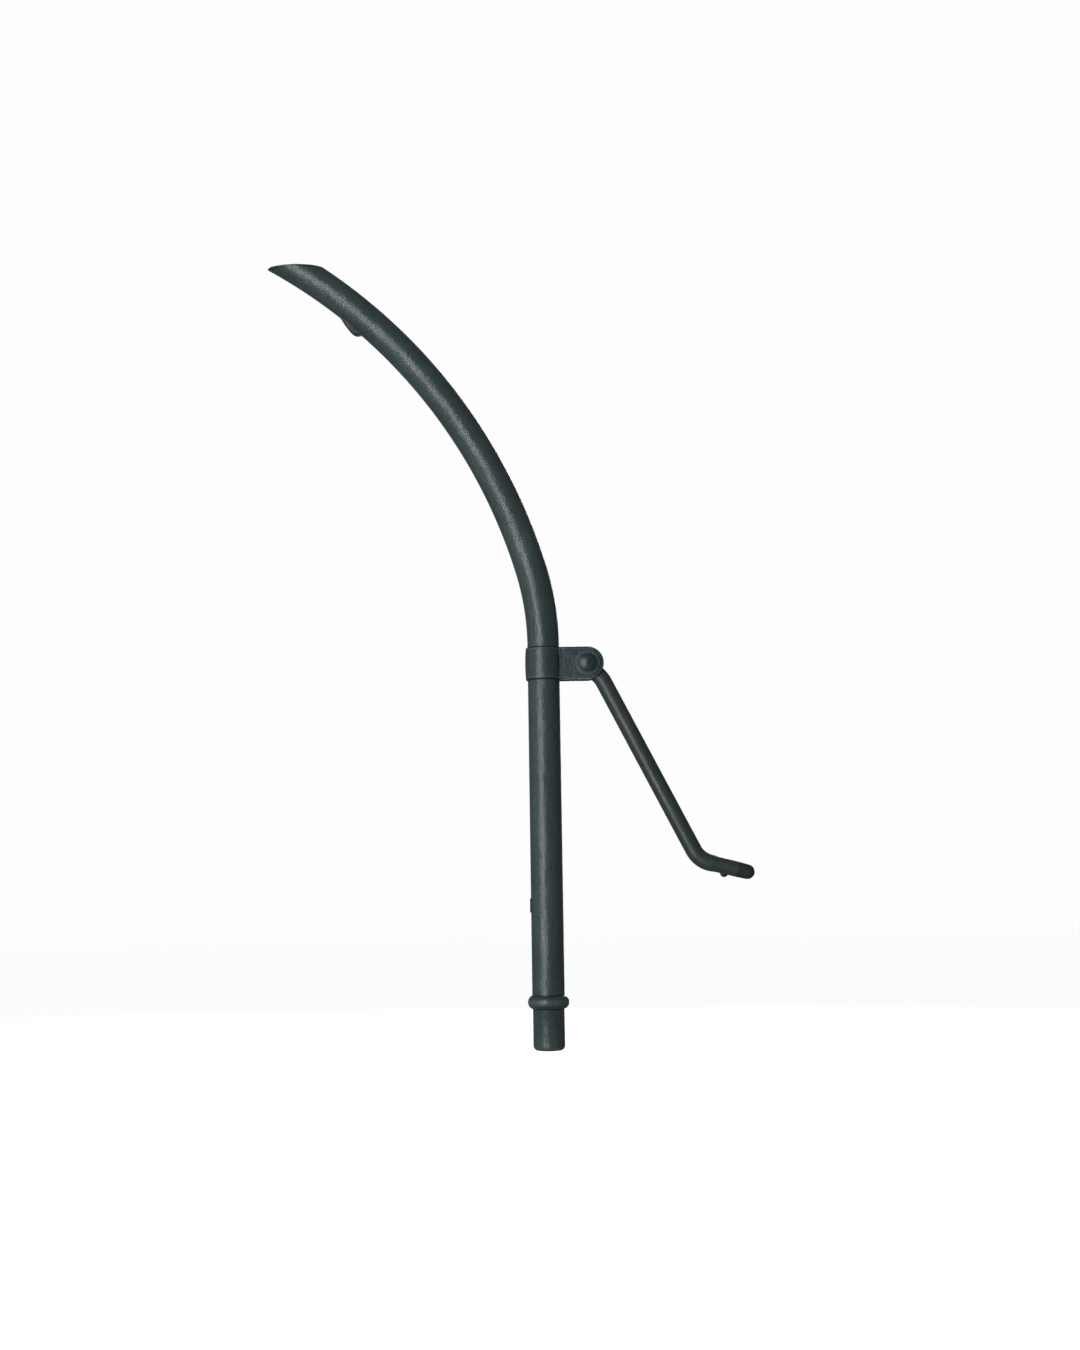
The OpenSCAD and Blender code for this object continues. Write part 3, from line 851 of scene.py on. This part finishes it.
class SCYTHE_OT_lower_end(bpy.types.Operator):
    """Turns the bead and the spigot below it"""
    bl_idname = "scythe.lower_end"
    bl_label = "Bead and spigot"

    def execute(self, context):
        size, paint = sizes(), finishes()
        centre = middle("bead_ring", 2)
        crest = high("bead_ring", 0) - size.bead_face_radius
        reach = math.degrees(math.acos((size.tube_radius - crest) / size.bead_face_radius))
        bead = turned(
            "bead", (0, 0, centre), (0, 0, 1),
            arc(crest, 0, size.bead_face_radius, -reach, reach, 26), sides=128, closed=True)
        crown = lambda finish: finish.times(
            finish.spread(finish.from_line((0, 0, 0), 2), 0.0193, 0.0202, 0, 1), 0.30)
        # Painted shade along the bead's upper and lower edges, where it meets the tube and the spigot.
        edges = seams((high("bead_ring", 2), 1.3 * MM, 0.85), (low("bead_ring", 2), 1.3 * MM, 0.85))
        fit(bead, "shaft",
            enamel("bead_enamel", paint.shaft_enamel, wear=crown, painted_shade=edges), "bead_ring")
        outer = high("end_spigot", 0)
        plug, edge = size.spigot_radius, size.spigot_edge
        bore = size.tube_radius - size.tube_wall
        hollow = bore - size.spigot_wall
        profile = [(0, 0), (6 * MM, 0)] + arc(plug - edge, edge, edge, -90, 0, 12) + [
            (plug, centre - 4.2 * MM), (outer, centre - 3.6 * MM), (outer, low("shaft_tube", 2)),
            (bore, low("shaft_tube", 2)), (bore, high("end_spigot", 2)), (hollow, high("end_spigot", 2)),
            (hollow, 6 * MM), (4 * MM, 6 * MM), (0, 6 * MM)]
        spigot = turned("spigot", (0, 0, 0), (0, 0, 1), profile, sides=128)
        scuffed = lambda finish: finish.most(
            finish.times(finish.spread(finish.near_plane(2, 0.0022, 2.6 * MM), 0, 1, 0, 1), 0.28),
            finish.times(finish.near_plane(2, 0, 0.5 * MM), 0.55))
        # Painted shade on the spigot just under the bead.
        under = seams((low("bead_ring", 2), 1.2 * MM, 0.7))
        fit(spigot, "shaft",
            enamel("spigot_enamel", paint.shaft_enamel, wear=scuffed, painted_shade=under), "end_spigot")
        return {"FINISHED"}


class SCYTHE_OT_collar(bpy.types.Operator):
    """Makes the crowned band with its two ears, its pressed ribs and its liner"""
    bl_idname = "scythe.collar"
    bl_label = "Collar and liner"

    def execute(self, context):
        size, paint = sizes(), finishes()
        half = (high("clamp_band", 2) - low("clamp_band", 2)) / 2
        crown_radius = -low("clamp_band", 0)
        inner = high("band_liner", 0) + 0.05 * MM
        sag = 0.7 * MM
        sweep = (half * half + sag * sag) / (2 * sag)
        edge = 1.1 * MM
        flat = half - edge
        shoulder = crown_radius - sweep + math.sqrt(sweep * sweep - flat * flat)
        face = math.degrees(math.asin(flat / sweep))
        profile = [(inner, -half)] + arc(shoulder - edge, -flat, edge, -90, 0, 6)
        profile += arc(crown_radius - sweep, 0, sweep, -face, face, 20)[1:-1]
        profile += arc(shoulder - edge, flat, edge, 0, 90, 6) + [(inner, half)]
        band = turned("collar_band", (0, 0, PIVOT.z), (0, 0, 1), profile, sides=144, closed=True)
        ear_in = size.ears_half_width - size.ear_thickness
        reach = PIVOT.x
        gap = 2 * (ear_in + 0.3 * MM)
        combine(band, block("ear_gap", (reach / 2, 0, PIVOT.z), (reach, gap, 3 * half)), "DIFFERENCE")
        ear_half = half - 0.02 * MM
        rib_end, rib_radius = 0.8 * half, 0.6 * MM
        for side in (-1, 1):
            ear = self.ear(ear_half, side * ear_in, side * size.ear_thickness, inner / 2)
            round_edges(ear, 0.4 * MM, angle=50)
            combine(band, ear, "UNION")
            for rib_x in (18.6 * MM, 21.4 * MM):
                rib = turned(
                    "rib", (rib_x, side * (size.ears_half_width - 0.25 * MM), PIVOT.z), (0, 0, 1),
                    [(0, -rib_end)] + arc(0, -rib_end + rib_radius, rib_radius, -75, 0, 4)
                    + arc(0, rib_end - rib_radius, rib_radius, 0, 75, 4) + [(0, rib_end)], sides=24)
                combine(band, rib, "UNION")
            root = (size.ear_root, side * (size.ears_half_width + 0.2 * MM), PIVOT.z)
            drill(band, "root_groove", root, (0, 0, 1), 1.0 * MM, -1.6 * half, 1.6 * half, sides=24)
        middle_of_band = (0, 0, PIVOT.z)
        drill(band, "band_bore", middle_of_band, (0, 0, 1), inner + 0.02 * MM, -2 * half, 2 * half, sides=144)
        drill(
            band, "bolt_hole", PIVOT, (0, 1, 0), size.bolt_radius + 0.05 * MM, -30 * MM, 30 * MM, sides=48)
        close_up(band)
        top, bottom = high("clamp_band", 2), low("clamp_band", 2)
        rubbed = lambda finish: finish.times(finish.most(
            finish.near_plane(2, top - 1.9 * MM, 1.0 * MM),
            finish.near_plane(2, bottom + 1.9 * MM, 1.0 * MM)), 0.32)
        # Painted shade along the band's top and bottom edges, and in the crease where the ears leave the
        # band.
        edges = lambda finish: finish.spread(finish.most(
            finish.near_plane(2, top, 1.5 * MM), finish.near_plane(2, bottom, 1.5 * MM)), 0, 0.7, 0, 1)
        shaded_crease_and_edges = lambda finish: finish.most(
            edges(finish),
            finish.times(
                finish.spread(finish.near_plane(0, size.ear_root + 0.2 * MM, 2.0 * MM), 0, 0.6, 0, 1),
                finish.spread(finish.noise(300), 0.2, 0.6, 0.7, 1)))
        coat = enamel(
            "collar_enamel", paint.collar_enamel, wear=rubbed, painted_shade=shaded_crease_and_edges, rough=(0.25, 0.40), grain=0.8)
        fit(band, "collar", coat, "clamp_band", angle=30)
        outside, inside = high("band_liner", 0), size.tube_radius + 0.05 * MM
        liner = turned(
            "liner", (0, 0, PIVOT.z), (0, 0, 1),
            [(inside, -half - 0.6 * MM), (outside - 0.2 * MM, -half - 0.6 * MM), (outside, -half - 0.4 * MM),
             (outside, half + 0.4 * MM), (outside - 0.2 * MM, half + 0.6 * MM), (inside, half + 0.6 * MM)],
            sides=144, closed=True)
        fit(liner, "liner", moulded("liner_plastic", paint.liner_plastic), "band_liner")
        return {"FINISHED"}

    def ear(self, half, inner_y, thickness, start_x):
        """One ear: half a disc on the pivot, whose cut edge is drawn out towards the band."""
        deselect_all()
        bpy.ops.mesh.primitive_circle_add(
            vertices=ROUND, radius=half, fill_type="NGON",
            location=(PIVOT.x, inner_y, PIVOT.z), rotation=(math.pi / 2, 0, 0))
        ear = named("ear")
        settle(ear)
        with edit_mode(ear, "EDGE"):
            choose_all()
            bpy.ops.mesh.bisect(
                plane_co=(PIVOT.x, 0, PIVOT.z), plane_no=(1, 0, 0), clear_inner=True, use_fill=False)
            select_edges(ear, lambda edge: all(abs(vertex.co.x - PIVOT.x) < 1e-6 for vertex in edge.verts))
            extrude((start_x - PIVOT.x, 0, 0))
            bpy.ops.mesh.select_mode(type="FACE")
            choose_all()
            extrude((0, thickness, 0))
            heal(1e-6)
        return ear


class SCYTHE_OT_pivot(bpy.types.Operator):
    """Turns the domed bolt, its washers and its lock nut"""
    bl_idname = "scythe.pivot"
    bl_label = "Pivot bolt, washers and nut"

    def execute(self, context):
        size, paint = sizes(), finishes()
        self.bolt(size, paint)
        shank, outer, soft = size.bolt_radius, size.washer_radius, 0.35 * MM
        for node, name in (("front_washer", "washer_by_head"), ("back_washer", "washer_by_nut")):
            thick = high(node, 1) - low(node, 1)
            washer = on_pivot(
                name, low(node, 1),
                [(shank + 0.05 * MM, 0)] + arc(outer - soft, soft, soft, -90, 0, 4)
                + arc(outer - soft, thick - soft, soft, 0, 90, 4) + [(shank + 0.05 * MM, thick)], closed=True)
            rim_wear = lambda finish: finish.times(
                finish.spread(finish.from_line(PIVOT, 1), 0.0113, 0.0124, 0, 1), 0.35)
            coat = enamel(
                name + "_enamel", paint.washer_enamel, wear=rim_wear, rough=(0.36, 0.5), grain=0.7)
            fit(washer, "collar", coat, node)
        zinc = turned_metal("dulled_zinc", paint.nut_zinc, PIVOT)
        spring_low, rim = low("spring_washer", 1), 8.5 * MM
        rise = high("spring_washer", 1) - spring_low
        spring = on_pivot(
            "cone_washer", spring_low,
            [(shank + 0.05 * MM, rise - 0.9 * MM), (rim - 0.1 * MM, 0), (rim, 0.1 * MM), (rim, 0.8 * MM),
             (rim - 0.1 * MM, 0.9 * MM), (shank + 0.05 * MM, rise)], closed=True)
        fit(spring, "collar", zinc, "spring_washer")
        self.nut(size, paint, zinc)
        return {"FINISHED"}

    def bolt(self, size, paint):
        """The domed head with its pip, and the shank with its thread, in one profile."""
        front = low("front_washer", 1)
        crown = low("pivot_bolt", 1)
        head, shank = size.head_radius, size.bolt_radius
        rim, dome = 1.2 * MM, 3.2 * MM
        sweep = (head * head + dome * dome) / (2 * dome)
        pip = 1.5 * MM
        slope = math.degrees(math.asin(head / sweep))
        tip = math.degrees(math.asin(pip * 1.25 / sweep))
        profile = [(0, crown - front)]
        profile += [
            (pip * math.sin(math.radians(a)), crown - front + pip * (1 - math.cos(math.radians(a))))
            for a in (20, 42, 62, 78, 88)]
        profile += [(pip * 1.08, crown - front + pip + 0.03 * MM)]
        profile += [
            (sweep * math.sin(math.radians(angle)),
             -rim - dome + sweep * (1 - math.cos(math.radians(angle))))
            for angle in [tip + (slope - 1.5 - tip) * step / 14 for step in range(15)]]
        profile += [(head - 0.06 * MM, -rim - 0.1 * MM), (head, -rim + 0.15 * MM), (head, -0.25 * MM)]
        profile += [(head - 0.25 * MM, 0), (shank, 0)]
        back_end = high("pivot_bolt", 1) - front
        height, pitch = back_end - 9 * MM, 1.25 * MM
        profile += [(shank, height)]
        while height + pitch < back_end - 0.5 * MM:
            profile += [
                (shank - 0.55 * MM, height + pitch / 2), (shank - 0.02 * MM, height + pitch * 0.94)]
            height += pitch
        profile += [(shank - 0.7 * MM, back_end), (0, back_end)]
        bolt = on_pivot("domed_bolt", front, profile)
        crest = lambda finish: finish.most(
            finish.times(finish.spread(finish.from_line(PIVOT, 1), 0.0016, 0.0011, 0, 1), 0.30),
            finish.times(finish.spread(finish.from_line(PIVOT, 1), 0.0087, 0.0093, 0, 1), 0.22))
        # Painted shade on the bolt's head where it sits on the washer.
        foot = lambda finish: finish.times(finish.near_plane(1, front, 0.5 * MM), 0.7)
        coat = enamel(
            "bolt_enamel", paint.bolt_enamel, wear=crest, painted_shade=foot, rough=(0.34, 0.48), grain=0.8)
        fit(bolt, "collar", coat, "pivot_bolt", angle=32)

    def nut(self, size, paint, zinc):
        """A hexagon with trimmed corners, a round cup behind it, and a nylon ring in the cup."""
        nut_low, nut_top = low("lock_nut", 1), high("lock_nut", 1)
        tall = nut_top - nut_low
        flats, shank = size.nut_flats, size.bolt_radius
        corner = flats / math.sqrt(3)
        hexagon = tall - 2.2 * MM
        deselect_all()
        bpy.ops.mesh.primitive_cylinder_add(
            vertices=6, radius=corner, depth=hexagon + 1 * MM,
            location=(PIVOT.x, nut_low + hexagon / 2, PIVOT.z), rotation=(math.pi / 2, 0, 0))
        nut = named("lock_nut_body")
        settle(nut)
        combine(nut, on_pivot(
            "nut_trim", nut_low,
            [(0, 0), (flats / 2 - 0.1 * MM, 0), (corner + 0.1 * MM, 0.75 * MM),
             (corner + 0.1 * MM, hexagon - 0.75 * MM), (flats / 2 - 0.1 * MM, hexagon), (0, hexagon)]),
            "INTERSECT")
        sleeve = flats / 2 - 0.3 * MM
        combine(nut, on_pivot(
            "nut_cup", nut_low,
            [(0, 0.5 * MM), (sleeve, 0.5 * MM), (sleeve, tall - 0.8 * MM)]
            + arc(sleeve - 0.7 * MM, tall - 0.7 * MM, 0.7 * MM, 0, 90, 6) + [(0, tall)]), "UNION")
        bore, cup_bore, step = shank + 0.05 * MM, sleeve - 1.0 * MM, hexagon - 0.05 * MM
        combine(nut, on_pivot(
            "nut_bore", nut_low,
            [(0, -1 * MM), (bore, -1 * MM), (bore, step), (cup_bore, step), (cup_bore, 20 * MM),
             (0, 20 * MM)]), "DIFFERENCE")
        close_up(nut)
        fit(nut, "collar", zinc, "lock_nut", angle=28)
        ring = on_pivot(
            "nut_nylon_ring", nut_low + hexagon,
            [(shank, 0), (cup_bore, 0), (cup_bore, 1.95 * MM), (sleeve - 1.2 * MM, 2.15 * MM),
             (shank + 0.3 * MM, 2.15 * MM), (shank, 1.9 * MM)], closed=True)
        fit(ring, "collar",
            moulded("nut_nylon", paint.nut_nylon, rough=(0.35, 0.5)), "lock_nut_ring")


# The rod starts this far from the pivot, inside the eye
ROD_START = 3 * MM


def arm_start(size):
    """Place and heading of the arm's centreline inside the eye: it runs down and to the right."""
    heading = math.pi - size.arm_angle - math.asin(size.neck_bend_sine)
    return PIVOT + heading_vector(heading) * ROD_START, heading


def arm_path(size):
    neck_turn = math.asin(size.neck_bend_sine)
    foot_turn = math.asin(size.foot_bend_sine)
    bare = size.foot_length - size.cap_length
    return [
        (size.neck_length - ROD_START, 4),
        (size.arm_bend_radius, -neck_turn, 16),
        (size.arm_length, 10),
        (size.arm_bend_radius, foot_turn, 36),
    ], bare


class SCYTHE_OT_arm(bpy.types.Operator):
    """Runs and spins the bent rod, flattens its neck, and fits its eye, bush and friction washers"""
    bl_idname = "scythe.arm"
    bl_label = "Swing arm"

    def execute(self, context):
        size, paint = sizes(), finishes()
        start, heading = arm_start(size)
        path, bare = arm_path(size)
        rod, end, end_heading = bar("arm_rod", size.rod_radius, start, heading, path, capped=False)
        onward = heading_vector(end_heading)
        with edit_mode(rod, "EDGE"):
            at_end = lambda edge: all(abs((vertex.co - end).dot(onward)) < 1e-5 for vertex in edge.verts)
            if select_edges(rod, lambda edge: len(edge.link_faces) == 1 and at_end(edge)) != ROUND:
                raise RuntimeError("the rod's end ring was not found")
            radius = size.rod_radius
            taper = 2.0 * MM
            for run, next_radius in (
                    (taper, size.rod_radius - 0.11 * MM), (taper, size.rod_radius - 0.325 * MM),
                    (taper, size.rod_radius - 0.54 * MM), (taper, size.foot_radius),
                    (bare - 4 * taper - 0.4 * MM, size.foot_radius),
                    (0.4 * MM, size.foot_radius - 0.3 * MM)):
                extrude(onward * run)
                end = end + onward * run
                grow(next_radius / radius, end)
                radius = next_radius
            fill_rings(rod)
        close_up(rod)
        eye_half, eye_radius = high("arm_bush", 1), 13.5 * MM
        inner, outer = eye_radius - 0.5 * MM, 18.2 * MM
        gap = size.ears_half_width - size.ear_thickness - 0.4 * MM
        for side in (-1, 1):
            combine(rod, turned(
                "neck_gap", PIVOT, (0, side, 0),
                [(0, eye_half - 0.3 * MM), (inner, eye_half - 0.3 * MM), (inner, gap),
                 (outer, gap), (outer, 20 * MM), (0, 20 * MM)]), "DIFFERENCE")
        eye = turned(
            "arm_eye", PIVOT, (0, 1, 0),
            [(0, -eye_half), (eye_radius - 0.4 * MM, -eye_half), (eye_radius, -eye_half + 0.4 * MM),
             (eye_radius, eye_half - 0.4 * MM), (eye_radius - 0.4 * MM, eye_half), (0, eye_half)])
        combine(rod, eye, "UNION")
        bush_radius = high("arm_bush", 2) - PIVOT.z
        drill(rod, "bush_hole", PIVOT, (0, 1, 0), bush_radius, -20 * MM, 20 * MM, sides=64)
        close_up(rod)
        shade = lambda finish: finish.spread(finish.from_line(PIVOT, 1), 0.0185, 0.0150, 0, 0.6)
        coat = enamel("arm_enamel", paint.arm_enamel, painted_shade=shade, rough=(0.35, 0.48), grain=0.5)
        fit(rod, "side_grip", coat, "swing_arm", angle=30)
        hole = size.bolt_radius + 0.05 * MM
        bush = turned(
            "bronze_bush", PIVOT, (0, 1, 0),
            [(hole, -eye_half), (bush_radius, -eye_half), (bush_radius, eye_half), (hole, eye_half)],
            sides=64, closed=True)
        fit(bush, "side_grip",
            turned_metal("worn_bronze", paint.bush_bronze, PIVOT), "arm_bush")
        outer = high("friction_washers", 2) - PIVOT.z
        thick = 1.0 * MM
        fibre = moulded("friction_fibre", paint.friction_fibre, rough=(0.6, 0.8), grain=0.5)
        for side, name in ((-1, "friction_washer_front"), (1, "friction_washer_back")):
            washer = turned(
                name, PIVOT, (0, side, 0),
                [(hole, eye_half), (outer, eye_half), (outer, eye_half + thick), (hole, eye_half + thick)],
                sides=64, closed=True)
            fit(washer, "side_grip", fibre, "friction_washers")
        return {"FINISHED"}


class SCYTHE_OT_grip_end(bpy.types.Operator):
    """Turns the cap on the foot and the finger stud under it"""
    bl_idname = "scythe.grip_end"
    bl_label = "Grip cap and finger stud"

    def execute(self, context):
        size, paint = sizes(), finishes()
        start, heading = arm_start(size)
        path, bare = arm_path(size)
        guide, end, end_heading = bar("foot_guide", size.rod_radius, start, heading, path, sides=8)
        shape = guide.data
        bpy.data.objects.remove(guide)
        bpy.data.meshes.remove(shape)
        onward = heading_vector(end_heading)
        joint = end + onward * bare
        nose = 7.2 * MM
        rubber = moulded("cap_rubber", paint.cap_rubber)
        taper = size.cap_length - nose
        hollow = 4.5 * MM
        cap = turned(
            "foot_cap", joint, onward,
            [(hollow, 0), (size.foot_radius - 0.25 * MM, 0), (size.foot_radius, 0.25 * MM)]
            + [(nose, taper)] + arc(0, taper, nose, 6, 84, 13) + [(0, size.cap_length)])
        fit(cap, "side_grip", rubber, "grip_cap", angle=40)
        under = -side_vector(end_heading)
        stud_radius = 4 * MM
        seat = end + onward * size.stud_place + under * size.foot_radius
        dome = 3 * MM - stud_radius
        stud = turned(
            "stud_knob", seat, under,
            [(0, -4 * MM), (2.5 * MM, -4 * MM), (2.5 * MM, -0.6 * MM), (stud_radius * 0.985, -0.6 * MM)]
            + arc(0, dome, stud_radius, 12, 86, 12) + [(0, 3 * MM)], sides=64)
        fit(stud, "side_grip", rubber, "finger_stud", angle=40)
        return {"FINISHED"}


OPERATORS = (
    SCYTHE_OT_stage, SCYTHE_OT_shaft, SCYTHE_OT_blade_seat, SCYTHE_OT_stops, SCYTHE_OT_lower_end,
    SCYTHE_OT_collar, SCYTHE_OT_pivot, SCYTHE_OT_arm, SCYTHE_OT_grip_end,
)


class SCYTHE_PT_pieces(bpy.types.Panel):
    """Lists the operators and the sizes and finishes that they use"""
    bl_idname = "SCYTHE_PT_pieces"
    bl_label = "Scythe shaft"
    bl_space_type = "VIEW_3D"
    bl_region_type = "UI"
    bl_category = "Scythe"

    def draw(self, context):
        for operator in OPERATORS:
            self.layout.operator(operator.bl_idname)
        for group in (context.scene.scythe_sizes, context.scene.scythe_finishes, context.scene.scythe_stage):
            box = self.layout.box()
            for name in group.bl_rna.properties.keys():
                if name not in ("rna_type", "name"):
                    box.prop(group, name)


CLASSES = (ScytheSizes, ScytheFinishes, ScytheStage, *OPERATORS, SCYTHE_PT_pieces)


def register():
    for item in CLASSES:
        bpy.utils.register_class(item)
    bpy.types.Scene.scythe_sizes = bpy.props.PointerProperty(type=ScytheSizes)
    bpy.types.Scene.scythe_finishes = bpy.props.PointerProperty(type=ScytheFinishes)
    bpy.types.Scene.scythe_stage = bpy.props.PointerProperty(type=ScytheStage)


def unregister():
    del bpy.types.Scene.scythe_stage
    del bpy.types.Scene.scythe_finishes
    del bpy.types.Scene.scythe_sizes
    for item in reversed(CLASSES):
        bpy.utils.unregister_class(item)


def main():
    register()
    for operator in OPERATORS:
        group, name = operator.bl_idname.split(".")
        if getattr(getattr(bpy.ops, group), name)() != {"FINISHED"}:
            raise RuntimeError(f"{operator.bl_label} did not finish")


if __name__ == "__main__":
    main()
